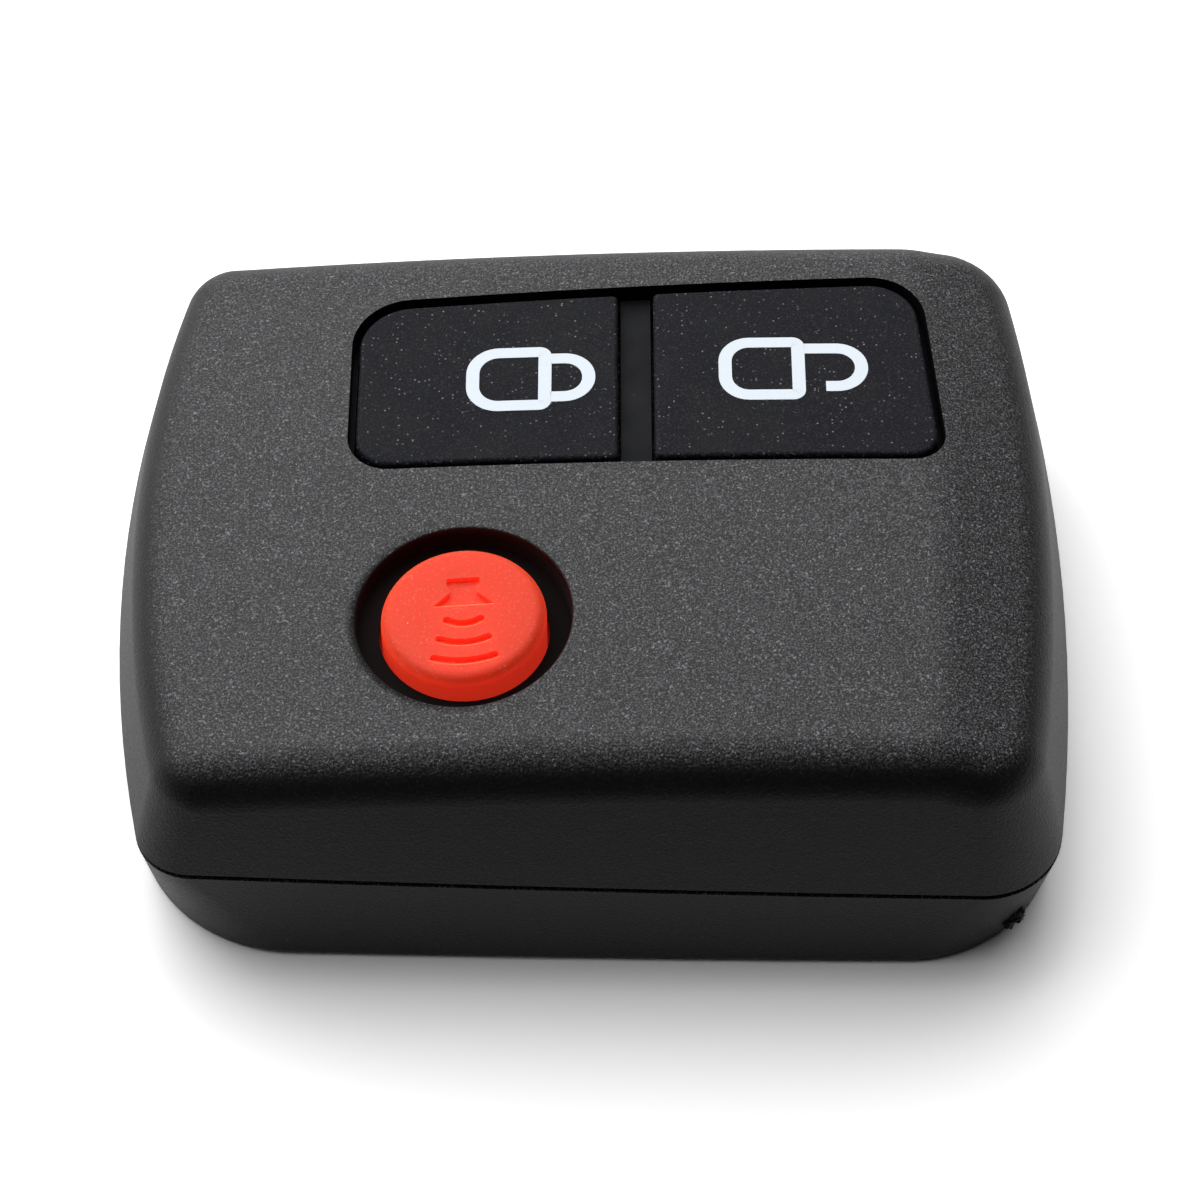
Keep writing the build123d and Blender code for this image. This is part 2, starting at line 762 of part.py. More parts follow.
# Antenna coil: a drum core with two flanges
coil_place = board_place(coil_place_shares)
coil_top = board_top + coil_height
with BuildPart() as antenna_coil:
    add(rod(coil_place, coil_radius, board_top, board_top + coil_flange))
    add(rod(coil_place, coil_radius - coil_waist, board_top + coil_flange, coil_top - coil_flange))
    add(rod(coil_place, coil_radius, coil_top - coil_flange, coil_top))
antenna_coil.part.label = "antenna_coil"
export_step(antenna_coil.part, "parts/antenna_coil.step")

# Coin cell: the can, the seal in its mouth and the cap
cell_place = (cell_x, 0)
cap_bottom = cell_bottom + cell_wall
can_top = cell_top - cell_cap_stand
with BuildPart() as cell_can:
    add(rod(cell_place, cell_radius, cell_bottom, can_top))
    fillet(cell_can.edges(), cell_edge_radius)
    add(rod(cell_place, cell_radius - cell_wall, cap_bottom, cell_top), mode=Mode.SUBTRACT)
cell_can.part.label = "cell_can"
export_step(cell_can.part, "parts/cell_can.step")

with BuildPart() as cell_seal:
    add(rod(cell_place, cell_radius - cell_wall, cap_bottom, can_top))
    add(rod(cell_place, cell_cap_radius, cap_bottom, can_top), mode=Mode.SUBTRACT)
cell_seal.part.label = "cell_seal"
export_step(cell_seal.part, "parts/cell_seal.step")

with BuildPart() as cell_cap:
    add(rod(cell_place, cell_cap_radius, cap_bottom, cell_top))
    fillet(cell_cap.faces().sort_by(Axis.Z)[-1].edges(), cell_edge_radius / 2)
cell_cap.part.label = "cell_cap"
export_step(cell_cap.part, "parts/cell_cap.step")


def bent_strip(points, bend_radius, thickness, width):
    """A bent metal strip, thick on the right of its path and centred across the fob."""
    with BuildPart() as strip:
        with BuildSketch(Plane.XZ.offset(-width / 2)):
            with BuildLine():
                FilletPolyline(*points, radius=bend_radius)
                offset(amount=thickness, side=Side.RIGHT)
            make_face()
        extrude(amount=width)
    return strip.part


# Contact strap that holds the cell from below, soldered under the board at both ends
strap_left = cell_x - cell_radius - strap_side_clearance
strap_right = cell_x + cell_radius + strap_side_clearance
strap_points = (
    (strap_left - strap_foot, board_height),
    (strap_left, board_height),
    (strap_left, cell_bottom),
    (strap_right, cell_bottom),
    (strap_right, board_height),
    (strap_right + strap_foot, board_height),
)
with BuildPart() as positive_contact:
    add(bent_strip(strap_points, strap_bend_radius, strap_thickness, strap_width))
positive_contact.part.label = "positive_contact"
export_step(positive_contact.part, "parts/positive_contact.step")

# Contact leaf under the board that presses on the cell's cap
leaf_start = cell_x - leaf_base - leaf_run / 2
leaf_low = cell_top + leaf_thickness + contact_clearance
leaf_points = (
    (leaf_start, board_height),
    (leaf_start + leaf_base, board_height),
    (leaf_start + leaf_base + leaf_run, leaf_low),
    (leaf_start + leaf_base + leaf_run + leaf_tip, leaf_low + leaf_tip_rise),
)
with BuildPart() as negative_contact:
    add(bent_strip(leaf_points, leaf_bend_radius, leaf_thickness, leaf_width))
negative_contact.part.label = "negative_contact"
export_step(negative_contact.part, "parts/negative_contact.step")
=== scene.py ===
"""Looks of the car key fob: its finishes, painted signs and moulding marks, with floor, light and camera.

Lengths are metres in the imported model's frame: X along the fob, Y across it, Z up.
"""

import json
from math import cos, pi, radians, sin

import bmesh
import bpy
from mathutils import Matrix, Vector, noise


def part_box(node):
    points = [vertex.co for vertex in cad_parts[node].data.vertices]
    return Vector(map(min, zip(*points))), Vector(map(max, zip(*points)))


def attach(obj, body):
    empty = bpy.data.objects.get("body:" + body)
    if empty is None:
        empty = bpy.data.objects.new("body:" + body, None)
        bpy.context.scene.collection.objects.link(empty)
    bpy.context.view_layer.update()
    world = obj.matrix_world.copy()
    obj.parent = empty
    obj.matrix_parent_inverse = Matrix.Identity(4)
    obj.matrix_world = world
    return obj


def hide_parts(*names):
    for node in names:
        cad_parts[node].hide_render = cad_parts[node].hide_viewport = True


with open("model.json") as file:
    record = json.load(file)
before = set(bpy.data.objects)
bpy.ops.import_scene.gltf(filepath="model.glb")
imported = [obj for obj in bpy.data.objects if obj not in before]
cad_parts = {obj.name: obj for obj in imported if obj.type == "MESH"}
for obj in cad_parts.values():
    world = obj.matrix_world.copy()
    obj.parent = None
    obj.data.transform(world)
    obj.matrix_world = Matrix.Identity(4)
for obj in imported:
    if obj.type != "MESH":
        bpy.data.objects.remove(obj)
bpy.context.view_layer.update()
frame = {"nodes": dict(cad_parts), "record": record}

MM = 0.001

# View of the photograph
CAMERA_TARGET = Vector((0.319, 4.383, 0.0)) * MM
CAMERA_ELEVATION = radians(53.27)
CAMERA_DISTANCE = 216.0 * MM
SENSOR_WIDTH = 36.0
FOCAL_LENGTH = 115.8

# Studio light: a soft lamp, and a room that is bright behind the fob and dark in front of it
LAMP_SIDE = Vector((-0.3, 0.5, 0.85))
LAMP_LENGTH = 0.95
LAMP_WIDTH = 0.8
LAMP_RADIANCE = 1.7
ROOM_SIDE = Vector((-0.32, 0.62, 0.7))
ROOM_RADIANCE = 1.65
ROOM_DARK_BELOW = 0.2

# Floor: its brightness where it lights the fob, far in front of it, and as the camera sees it
FLOOR_LIT = 0.93
FLOOR_DARK = 0.04
FLOOR_SEEN = 1.5
FLOOR_MOTTLE = 0.01
FLOOR_MOTTLE_SIZE = 30.0 * MM
FLOOR_FADE_START = -25.0 * MM
FLOOR_FADE_END = -75.0 * MM
FLOOR_SIZE = 8.0

# Surfaces: points this close are welded, and edges sharper than this stay crisp
WELD_DISTANCE = 0.0005 * MM
CRISP_ANGLE = radians(28)

# Painted signs: their line, then corner points with the radius of each corner, in millimetres
PAINT_WIDTH = 0.7 * MM
PAINT_THICKNESS = 0.02 * MM
PAINT_STEP = 0.08 * MM
PAINT_CORNER_POINTS = 10
PAINT_DROP_HEIGHT = 40.0 * MM
LOCK_BODY = (
    ((-6.47, 9.53), 1.4), ((-2.62, 9.53), 0.3), ((-2.62, 5.81), 0.3), ((-6.47, 5.81), 1.4),
)
LOCK_SHACKLE = (
    ((-2.32, 9.03), 0.0), ((-0.28, 9.03), 1.3), ((-0.28, 6.36), 1.3), ((-2.32, 6.36), 0.0),
)
UNLOCK_BODY = (
    ((6.99, 9.89), 1.3), ((10.89, 9.89), 0.3), ((10.89, 6.21), 0.3), ((6.99, 6.21), 1.3),
)
UNLOCK_SHACKLE = (
    ((11.2, 9.43), 0.0), ((14.25, 9.43), 1.32), ((14.25, 6.77), 1.32), ((12.32, 6.77), 0.0),
)

# The alarm button's well, where the case turns dull and is painted with shade: its rim, and depths under
# the top of the button
WELL_RIM = 6.1 * MM
WELL_FADE = 0.45 * MM
WELL_TOP = 0.25 * MM
WELL_DARK = 1.0 * MM

# Lint: fibres on each square millimetre of a surface, with the seed of their scatter
LINT = {
    "lock_button": (0.05, 11),
    "unlock_button": (0.09, 5),
    "alarm_button": (0.06, 3),
    "top_case": (0.004, 8),
}
LINT_LENGTH = 0.32 * MM
LINT_RADIUS = 0.011 * MM
LINT_BEND_POINTS = 7
LINT_SIDES = 5
LINT_SMALLEST = (0.25, 0.1, 0.8)
LINT_LARGEST = (1.1, 0.9, 1.2)
LINT_LOWEST = 14.2 * MM
LINT_UPRIGHT = 0.93

# Moulding gate left on the lower case's front right corner: its place and lumps, in millimetres
GATE_NEAR = (21.95, -17.7, 2.3)
GATE_LUMPS = (((0.0, 0.0), 0.42), ((-0.52, -0.34), 0.33), ((0.2, 0.42), 0.22))
GATE_STAND = 0.12 * MM
GATE_FLATNESS = 0.8
GATE_ROUGHNESS = 0.55
GATE_GRAIN = 0.16 * MM
GATE_NOISE_SHIFT = 9.0
GATE_CRISP_ANGLE = radians(40)

# Antenna coil: the flange at each end, and the spacing of its turns
COIL_FLANGE = 0.4 * MM
COIL_PITCH = 0.12 * MM

# Rubbed edges: likeness of the rounded normal to the flat one where they start and where they are full
EDGE_START = 0.995
EDGE_FULL = 0.85
EDGE_SAMPLES = 3


class Wire:
    """A socket of a node tree whose arithmetic adds Math nodes."""

    def __init__(self, tree, socket):
        self.tree = tree
        self.socket = socket

    def math(self, operation, *values):
        return self.tree.node("ShaderNodeMath", {"operation": operation}, dict(enumerate(values)))

    def __add__(self, other):
        return self.math("ADD", self, other)

    def __radd__(self, other):
        return self.math("ADD", other, self)

    def __sub__(self, other):
        return self.math("SUBTRACT", self, other)

    def __rsub__(self, other):
        return self.math("SUBTRACT", other, self)

    def __mul__(self, other):
        return self.math("MULTIPLY", self, other)

    def __rmul__(self, other):
        return self.math("MULTIPLY", other, self)

    def __gt__(self, other):
        return self.math("GREATER_THAN", self, other)

    def __lt__(self, other):
        return self.math("LESS_THAN", self, other)

    def sine(self):
        return self.math("SINE", self)

    def ramp(self, low, high, start=0.0, end=1.0):
        """This value run from start to end while it goes from low to high, smoothly and clamped."""
        settings = {"interpolation_type": "SMOOTHSTEP", "clamp": True}
        return self.tree.node("ShaderNodeMapRange", settings, {0: self, 1: low, 2: high, 3: start, 4: end})


class Tree:
    """A node tree to which one method adds every node."""

    def __init__(self, node_tree):
        self.nodes = node_tree.nodes
        self.links = node_tree.links

    def put(self, socket, value):
        """Links a wire to a socket, or sets the socket to a plain value."""
        if isinstance(value, Wire):
            self.links.new(value.socket, socket)
        else:
            socket.default_value = value

    def node(self, kind, settings=None, sockets=None, output=0):
        """Adds a node, sets its settings and then its sockets, and returns one of its outputs."""
        made = self.nodes.new(kind)
        for name, value in (settings or {}).items():
            setattr(made, name, value)
        for name, value in (sockets or {}).items():
            self.put(made.inputs[name], value)
        return Wire(self, made.outputs[output])

    def close(self, kind, socket, wire):
        """Adds the output node and links the wire to it."""
        self.links.new(wire.socket, self.nodes.new(kind).inputs[socket])

    def vector(self, **coordinates):
        """A vector put together from its coordinates, of which those left out are zero."""
        return self.node("ShaderNodeCombineXYZ", None, coordinates)

    def coordinate(self, vector, name):
        """One coordinate of a vector."""
        return self.node("ShaderNodeSeparateXYZ", None, {0: vector}, name)

    def measure(self, operation, *vectors):
        """The number that an operation gives for its vectors."""
        settings = {"operation": operation}
        return self.node("ShaderNodeVectorMath", settings, dict(enumerate(vectors)), "Value")

    def blend(self, share, first, second):
        """One colour turning into another."""
        return self.node("ShaderNodeMix", {"data_type": "RGBA"}, {0: share, 6: first, 7: second}, 2)


class Finish(Tree):
    """A surface finish, with patterns in object coordinates."""

    def __init__(self, name, constants=None):
        self.material = bpy.data.materials.new(name)
        self.material.use_nodes = True
        super().__init__(self.material.node_tree)
        self.shader = self.nodes["Principled BSDF"]
        self.place = self.node("ShaderNodeTexCoord", output="Object")
        for socket, value in (constants or {}).items():
            self.shader.inputs[socket].default_value = value

    def grain(self, size, detail=2.0, roughness=0.55):
        """Cloudy noise with features of about that size."""
        sockets = {"Vector": self.place, "Scale": 1.0 / size, "Detail": detail, "Roughness": roughness}
        return self.node("ShaderNodeTexNoise", None, sockets)

    def cells(self, size, output="Distance"):
        """Distance to the nearest of the points scattered about that far apart, or that point's colour."""
        return self.node("ShaderNodeTexVoronoi", None, {"Vector": self.place, "Scale": 1.0 / size}, output)

    def specks(self, size, radius, share):
        """A mask of small dots: that share of the scattered points has one."""
        chosen = self.node("ShaderNodeSeparateColor", None, {0: self.cells(size, "Color")}) < share
        return self.cells(size).ramp(radius, radius * 0.6) * chosen

    def brushed(self, size, stretch):
        """Fine lines along one axis, which stretch squeezes the pattern along."""
        stretched = self.node("ShaderNodeMapping", None, {"Vector": self.place, "Scale": stretch})
        sockets = {"Vector": stretched, "Scale": 1.0 / size, "Detail": 3.0}
        return self.node("ShaderNodeTexNoise", None, sockets)

    def axis(self, name):
        """One coordinate of the surface point."""
        return self.coordinate(self.place, name)

    def facing_up(self):
        """How far the surface faces up, from -1 to 1."""
        return self.coordinate(self.node("ShaderNodeTexCoord", output="Normal"), "Z")

    def edges(self, width):
        """A mask of the sharp and tightly rounded edges."""
        flat = self.node("ShaderNodeNewGeometry", output="Normal")
        rounded = self.node("ShaderNodeBevel", {"samples": EDGE_SAMPLES}, {"Radius": width})
        return self.measure("DOT_PRODUCT", flat, rounded).ramp(EDGE_START, EDGE_FULL)

    def relief(self, height, depth):
        """Bumps of that depth from a height pattern that runs from 0 to 1."""
        sockets = {"Strength": 1.0, "Distance": depth, "Height": height}
        self.put(self.shader.inputs["Normal"], self.node("ShaderNodeBump", None, sockets, "Normal"))

    def wear(self, colour, roughness, metallic=None):
        """Connects what changes over the surface and returns the material."""
        self.put(self.shader.inputs["Base Color"], colour)
        self.put(self.shader.inputs["Roughness"], roughness)
        if metallic is not None:
            self.put(self.shader.inputs["Metallic"], metallic)
        return self.material


class Recipe(Tree):
    """A geometry node tree with named inputs."""

    def __init__(self, name, inputs):
        self.group = bpy.data.node_groups.new(name, "GeometryNodeTree")
        super().__init__(self.group)
        for socket, kind in inputs.items():
            self.group.interface.new_socket(socket, in_out="INPUT", socket_type=f"NodeSocket{kind}")
        self.group.interface.new_socket("Result", in_out="OUTPUT", socket_type="NodeSocketGeometry")
        given = self.nodes.new("NodeGroupInput")
        self.given = {socket: Wire(self, given.outputs[socket]) for socket in inputs}

    def finish(self, geometry, material):
        """Makes the geometry real and gives it its material."""
        real = self.node("GeometryNodeRealizeInstances", None, {"Geometry": geometry})
        coated = self.node("GeometryNodeSetMaterial", None, {"Geometry": real, "Material": material})
        self.close("NodeGroupOutput", 0, coated)
        return self.group


def grey(level, blue=0.0):
    """A neutral colour, a little bluer where asked."""
    return (level, level, level + blue, 1.0)


# Colours of the finishes, among them painted glints, painted shade and a painted glow
CASE_BLACK = grey(0.0036, 0.0003)
CASE_CLOUD = grey(0.0052, 0.0005)
# Painted highlights: pale greys that stand in for glints of the lamp on the case's grain
CASE_PAINTED_GLINT = grey(0.125, 0.01)
CASE_PAINTED_SPARK = grey(0.24, 0.018)
CASE_RUBBED = grey(0.03)
CASE_DUST = grey(0.3)
# Painted shade for the alarm button's well: a reddish black
WELL_PAINTED_SHADE = (0.0022, 0.0012, 0.0012, 1.0)
PAD_BLACK = (0.0026, 0.0029, 0.0058, 1.0)
PAD_SMEAR = (0.0052, 0.0055, 0.0094, 1.0)
PAD_HAZE = grey(0.22, 0.02)
PAD_RUBBED = grey(0.3, 0.02)
PAD_DUST = grey(0.32, 0.02)
MAT_BLACK = (0.0042, 0.0045, 0.0062, 1.0)
MAT_SMEAR = (0.0068, 0.0072, 0.0092, 1.0)
MAT_RUBBED = grey(0.2)
MAT_DUST = grey(0.25)
ALARM_RED = (0.96, 0.054, 0.014, 1.0)
ALARM_MOTTLE = (1.0, 0.066, 0.020, 1.0)
ALARM_SPECKLE = (0.97, 0.42, 0.34, 1.0)
ALARM_RUBBED = (0.97, 0.2, 0.14, 1.0)
ALARM_DUST = (0.97, 0.75, 0.7, 1.0)
# Painted glow: red light that the alarm button's sides give off, though they are no lamp
ALARM_PAINTED_GLOW = (0.4, 0.017, 0.007, 1.0)
NO_GLOW = grey(0.0)
# Painted shade: the membrane's reds are darkened copies of the alarm button's reds
MEMBRANE_SHADED_RED = (0.16, 0.006, 0.003, 1.0)
MEMBRANE_SHADED_MOTTLE = (0.26, 0.012, 0.007, 1.0)
MEMBRANE_SHADED_RUBBED = (0.4, 0.05, 0.03, 1.0)
SIGN_WHITE = (0.76, 0.84, 0.92, 1.0)
SIGN_PATCH = (0.84, 0.90, 0.96, 1.0)
SIGN_PORE = (0.5, 0.56, 0.62, 1.0)
LINT_DARK = grey(0.22)
LINT_PALE = grey(0.75)
MASK_GREEN = (0.006, 0.085, 0.030, 1.0)
MASK_WEAVE = (0.010, 0.115, 0.042, 1.0)
MASK_TRACK = (0.035, 0.24, 0.085, 1.0)
BOARD_EDGE = (0.30, 0.26, 0.14, 1.0)
FERRITE_DARK = grey(0.02)
FERRITE_PALE = grey(0.04)
FERRITE_CHIPPED = grey(0.12)
WIRE_DARK = (0.12, 0.03, 0.008, 1.0)
WIRE_BRIGHT = (0.55, 0.20, 0.06, 1.0)


def case_plastic():
    """Black moulded plastic with eroded grain, pale flecks painted on its upward faces as glints of the
    lamp, and painted shade where it is dull in the well.
    """
    finish = Finish("case_plastic", {"Specular IOR Level": 0.27})
    grain = finish.grain(0.12 * MM, roughness=0.6)
    pebbles = finish.cells(0.16 * MM)
    # Painted highlights: flecks of the grain turn pale on faces that face up, as glints and sparks of the
    # lamp
    painted_glints = finish.grain(0.1 * MM, detail=1.0).ramp(0.47, 0.62)
    painted_sparks = finish.grain(0.14 * MM, detail=1.0).ramp(0.62, 0.72)
    upward = finish.facing_up().ramp(0.7, 0.98, 0.06, 1.0)
    body = finish.blend(finish.grain(9.0 * MM), CASE_BLACK, CASE_CLOUD)
    glint_painted = finish.blend(painted_glints * upward * 0.58, body, CASE_PAINTED_GLINT)
    spark_painted = finish.blend(painted_sparks * upward * 0.8, glint_painted, CASE_PAINTED_SPARK)
    rubbed = finish.blend(finish.edges(0.12 * MM) * 0.25, spark_painted, CASE_RUBBED)
    dusty = finish.blend(finish.specks(1.6 * MM, 0.06, 0.12) * 0.5, rubbed, CASE_DUST)
    # Painted shade: down in the alarm button's well the case turns black, and fully rough
    low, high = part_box("alarm_button")
    middle = (low + high) / 2
    away = finish.vector(X=finish.axis("X") - middle.x, Y=finish.axis("Y") - middle.y)
    within = finish.measure("LENGTH", away).ramp(WELL_RIM, WELL_RIM - WELL_FADE)
    well_shade = within * finish.axis("Z").ramp(high.z - WELL_TOP, high.z - WELL_DARK)
    colour = finish.blend(well_shade, dusty, WELL_PAINTED_SHADE)
    finish.relief(grain * 0.6 + pebbles * 0.4, 0.04 * MM)
    return finish.wear(colour, grain.ramp(0.35, 0.65, 0.48, 0.38) * (1.0 - well_shade) + well_shade)


def pad_rubber():
    """Matte black silicone with dust caught on it."""
    finish = Finish("pad_rubber", {"Specular IOR Level": 0.145})
    smears = finish.grain(3.5 * MM, detail=4.0, roughness=0.7)
    haze = finish.grain(0.12 * MM, detail=1.0).ramp(0.5, 0.66)
    fluff = finish.grain(0.16 * MM, detail=3.0).ramp(0.5, 0.66)
    fine = finish.specks(0.26 * MM, 0.24, 0.4) * finish.grain(0.5 * MM).ramp(0.38, 0.66, 0.1, 0.62)
    dust = fine + finish.specks(0.75 * MM, 0.09, 0.3) * smears.ramp(0.3, 0.6, 0.2, 0.7)
    body = finish.blend(smears.ramp(0.35, 0.7), PAD_BLACK, PAD_SMEAR)
    hazy = finish.blend(haze * 0.06, body, PAD_HAZE)
    rubbed = finish.blend(finish.edges(0.2 * MM) * fluff * 0.9, hazy, PAD_RUBBED)
    colour = finish.blend(dust, rubbed, PAD_DUST)
    finish.relief(finish.grain(0.09 * MM), 0.012 * MM)
    return finish.wear(colour, smears.ramp(0.3, 0.7, 0.6, 0.7))


def mat_rubber():
    """The same silicone down in the strip, cleaner and darker."""
    finish = Finish("mat_rubber", {"Specular IOR Level": 0.14})
    smears = finish.grain(2.0 * MM, detail=3.0)
    body = finish.blend(smears, MAT_BLACK, MAT_SMEAR)
    worn = finish.blend(finish.edges(0.1 * MM) * 0.06, body, MAT_RUBBED)
    colour = finish.blend(finish.specks(0.7 * MM, 0.07, 0.12) * 0.25, worn, MAT_DUST)
    finish.relief(finish.grain(0.09 * MM), 0.01 * MM)
    return finish.wear(colour, smears.ramp(0.3, 0.7, 0.58, 0.7))


def alarm_rubber():
    """Satin red silicone with pale dust, which lets light through, and whose sides glow with a painted red
    light.
    """
    through = {"Subsurface Weight": 1.0, "Subsurface Radius": (1.0, 0.2, 0.1), "Subsurface Scale": 1.5 * MM}
    finish = Finish("alarm_rubber", {"Specular IOR Level": 0.2, "Emission Strength": 1.0} | through)
    mottle = finish.grain(0.5 * MM, detail=3.0)
    speckle = finish.grain(0.14 * MM, detail=1.0).ramp(0.55, 0.75)
    body = finish.blend(mottle, ALARM_RED, ALARM_MOTTLE)
    speckled = finish.blend(speckle * 0.16, body, ALARM_SPECKLE)
    rubbed = finish.blend(finish.edges(0.2 * MM) * 0.1, speckled, ALARM_RUBBED)
    colour = finish.blend(finish.specks(0.5 * MM, 0.09, 0.10) * 0.5, rubbed, ALARM_DUST)
    # Painted light: the button's sides, between its top and bottom, glow red as if lit through
    glowing_sides = finish.facing_up().ramp(0.85, 0.3) * finish.facing_up().ramp(-0.5, -0.1)
    glow = finish.blend(glowing_sides, NO_GLOW, ALARM_PAINTED_GLOW)
    finish.put(finish.shader.inputs["Emission Color"], glow)
    finish.relief(finish.grain(0.1 * MM), 0.008 * MM)
    return finish.wear(colour, mottle.ramp(0.3, 0.7, 0.45, 0.55))


def membrane_rubber():
    """Red silicone in the dark under the well, its reds painted dark as shade."""
    finish = Finish("membrane_rubber", {"Specular IOR Level": 0.3})
    mottle = finish.grain(0.6 * MM, detail=3.0)
    body = finish.blend(mottle, MEMBRANE_SHADED_RED, MEMBRANE_SHADED_MOTTLE)
    colour = finish.blend(finish.edges(0.1 * MM) * 0.15, body, MEMBRANE_SHADED_RUBBED)
    finish.relief(finish.grain(0.1 * MM), 0.006 * MM)
    return finish.wear(colour, mottle.ramp(0.3, 0.7, 0.55, 0.7))


def sign_paint():
    """White pad print, a touch blue, slightly uneven."""
    finish = Finish("sign_paint", {"Specular IOR Level": 0.3})
    patch = finish.grain(0.35 * MM, detail=4.0, roughness=0.7)
    pores = finish.grain(0.1 * MM, detail=1.0).ramp(0.6, 0.8)
    body = finish.blend(patch, SIGN_WHITE, SIGN_PATCH)
    colour = finish.blend(pores * 0.25, body, SIGN_PORE)
    finish.relief(patch, 0.003 * MM)
    return finish.wear(colour, patch.ramp(0.3, 0.7, 0.5, 0.65))


def lint_fibre():
    """Pale textile dust."""
    finish = Finish("lint", {"Specular IOR Level": 0.2})
    tone = finish.grain(0.6 * MM)
    finish.relief(finish.grain(0.03 * MM), 0.002 * MM)
    return finish.wear(finish.blend(tone, LINT_DARK, LINT_PALE), tone.ramp(0.3, 0.7, 0.7, 0.9))


def board_laminate():
    """Green solder mask over copper tracks."""
    finish = Finish("board_laminate", {"Coat Weight": 0.35, "Coat Roughness": 0.2})
    sockets = {"Vector": finish.place, "Scale": 1.0 / (2.6 * MM), "Mortar Size": 0.12, "Mortar Smooth": 0.1}
    tracks = finish.node("ShaderNodeTexBrick", {"offset": 0.35}, sockets, "Fac")
    weave = finish.brushed(0.35 * MM, (1.0, 1.0, 0.2))
    mask = finish.blend(weave, MASK_GREEN, MASK_WEAVE)
    tracked = finish.blend(tracks * 0.6, mask, MASK_TRACK)
    colour = finish.blend(finish.edges(0.15 * MM) * 0.5, tracked, BOARD_EDGE)
    finish.relief(tracks, 0.02 * MM)
    return finish.wear(colour, weave.ramp(0.3, 0.7, 0.3, 0.42))


def sheet_metal(name, tint, stretch, rough=0.28):
    """Bright sheet metal with fine rolling lines and rubbed edges."""
    finish = Finish(name)
    lines = finish.brushed(0.08 * MM, stretch)
    stain = finish.grain(2.0 * MM, detail=3.0)
    darker = tuple(channel * 0.78 for channel in tint) + (1.0,)
    brighter = tuple(min(channel * 1.15, 0.95) for channel in tint) + (1.0,)
    body = finish.blend(stain * 0.6 + lines * 0.4, darker, tint + (1.0,))
    colour = finish.blend(finish.edges(0.1 * MM) * 0.6, body, brighter)
    finish.relief(lines, 0.003 * MM)
    return finish.wear(colour, lines.ramp(0.3, 0.7, rough, rough + 0.14), stain.ramp(0.0, 1.0, 0.92, 1.0))


def small_plastic(name, dark, light, rough=0.5):
    """Moulded plastic or fired ceramic of one of the small parts."""
    finish = Finish(name, {"Specular IOR Level": 0.45})
    fine = finish.grain(0.12 * MM, detail=3.0)
    cloud = finish.grain(1.5 * MM)
    paler = tuple(channel * 1.3 + 0.02 for channel in light) + (1.0,)
    body = finish.blend(cloud * 0.7 + fine * 0.3, dark + (1.0,), light + (1.0,))
    colour = finish.blend(finish.edges(0.08 * MM) * 0.4, body, paler)
    finish.relief(fine, 0.008 * MM)
    return finish.wear(colour, fine.ramp(0.3, 0.7, rough - 0.06, rough + 0.08))


def wound_ferrite():
    """Ferrite drum with lines of varnished wire round its waist."""
    finish = Finish("ferrite")
    low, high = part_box("antenna_coil")
    rise = finish.axis("Z")
    middle = (rise > low.z + COIL_FLANGE) * (rise < high.z - COIL_FLANGE)
    turns = (rise * (2 * pi / COIL_PITCH)).sine().ramp(-1.0, 1.0)
    stone = finish.blend(finish.grain(0.2 * MM), FERRITE_DARK, FERRITE_PALE)
    chipped = finish.blend(finish.edges(0.08 * MM) * 0.5, stone, FERRITE_CHIPPED)
    wire = finish.blend(turns, WIRE_DARK, WIRE_BRIGHT)
    finish.relief(turns * middle, 0.03 * MM)
    return finish.wear(finish.blend(middle, chipped, wire), finish.grain(0.3 * MM).ramp(0.3, 0.7, 0.3, 0.5))


FINISHES = {
    "case_plastic": case_plastic(),
    "pad_rubber": pad_rubber(),
    "mat_rubber": mat_rubber(),
    "alarm_rubber": alarm_rubber(),
    "membrane_rubber": membrane_rubber(),
    "board_laminate": board_laminate(),
    "copper": sheet_metal("gold_plated_copper", (0.83, 0.57, 0.24), (1.0, 1.0, 1.0), 0.3),
    "bright_steel": sheet_metal("tinned_sheet", (0.72, 0.72, 0.71), (1.0, 0.12, 1.0)),
    "cell_steel": sheet_metal("nickel_plate", (0.74, 0.73, 0.70), (0.12, 1.0, 1.0), 0.24),
    "pin_steel": sheet_metal("drawn_steel", (0.56, 0.56, 0.57), (1.0, 0.04, 1.0), 0.26),
    "switch_plastic": small_plastic("switch_plastic", (0.014, 0.014, 0.015), (0.026, 0.026, 0.028)),
    "plunger_plastic": small_plastic("plunger_plastic", (0.62, 0.60, 0.54), (0.70, 0.68, 0.62), 0.42),
    "chip_plastic": small_plastic("chip_plastic", (0.011, 0.011, 0.012), (0.024, 0.024, 0.026), 0.58),
    "ceramic": small_plastic("ceramic", (0.36, 0.25, 0.16), (0.50, 0.37, 0.25), 0.4),
    "ferrite": wound_ferrite(),
    "seal_plastic": small_plastic("seal_plastic", (0.05, 0.05, 0.055), (0.09, 0.09, 0.10)),
}

BODY_OF = {node: body for body, nodes in frame["record"]["behaviour"]["bodies"].items() for node in nodes}
SLOT_OF = {entry["node"]: entry["material_slot"] for entry in frame["record"]["subparts"]}


def new_piece(name, mesh, node, material):
    """Links a mesh as a piece that rides with a node and wears one material."""
    mesh.materials.clear()
    mesh.materials.append(material)
    piece = bpy.data.objects.new(name, mesh)
    bpy.context.scene.collection.objects.link(piece)
    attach(piece, BODY_OF[node])
    return piece


def smooth_by_angle(shape, limit):
    """Shades a bmesh smooth, with edges sharper than the limit kept crisp."""
    for face in shape.faces:
        face.smooth = True
    for edge in shape.edges:
        edge.smooth = len(edge.link_faces) == 2 and edge.calc_face_angle() < limit


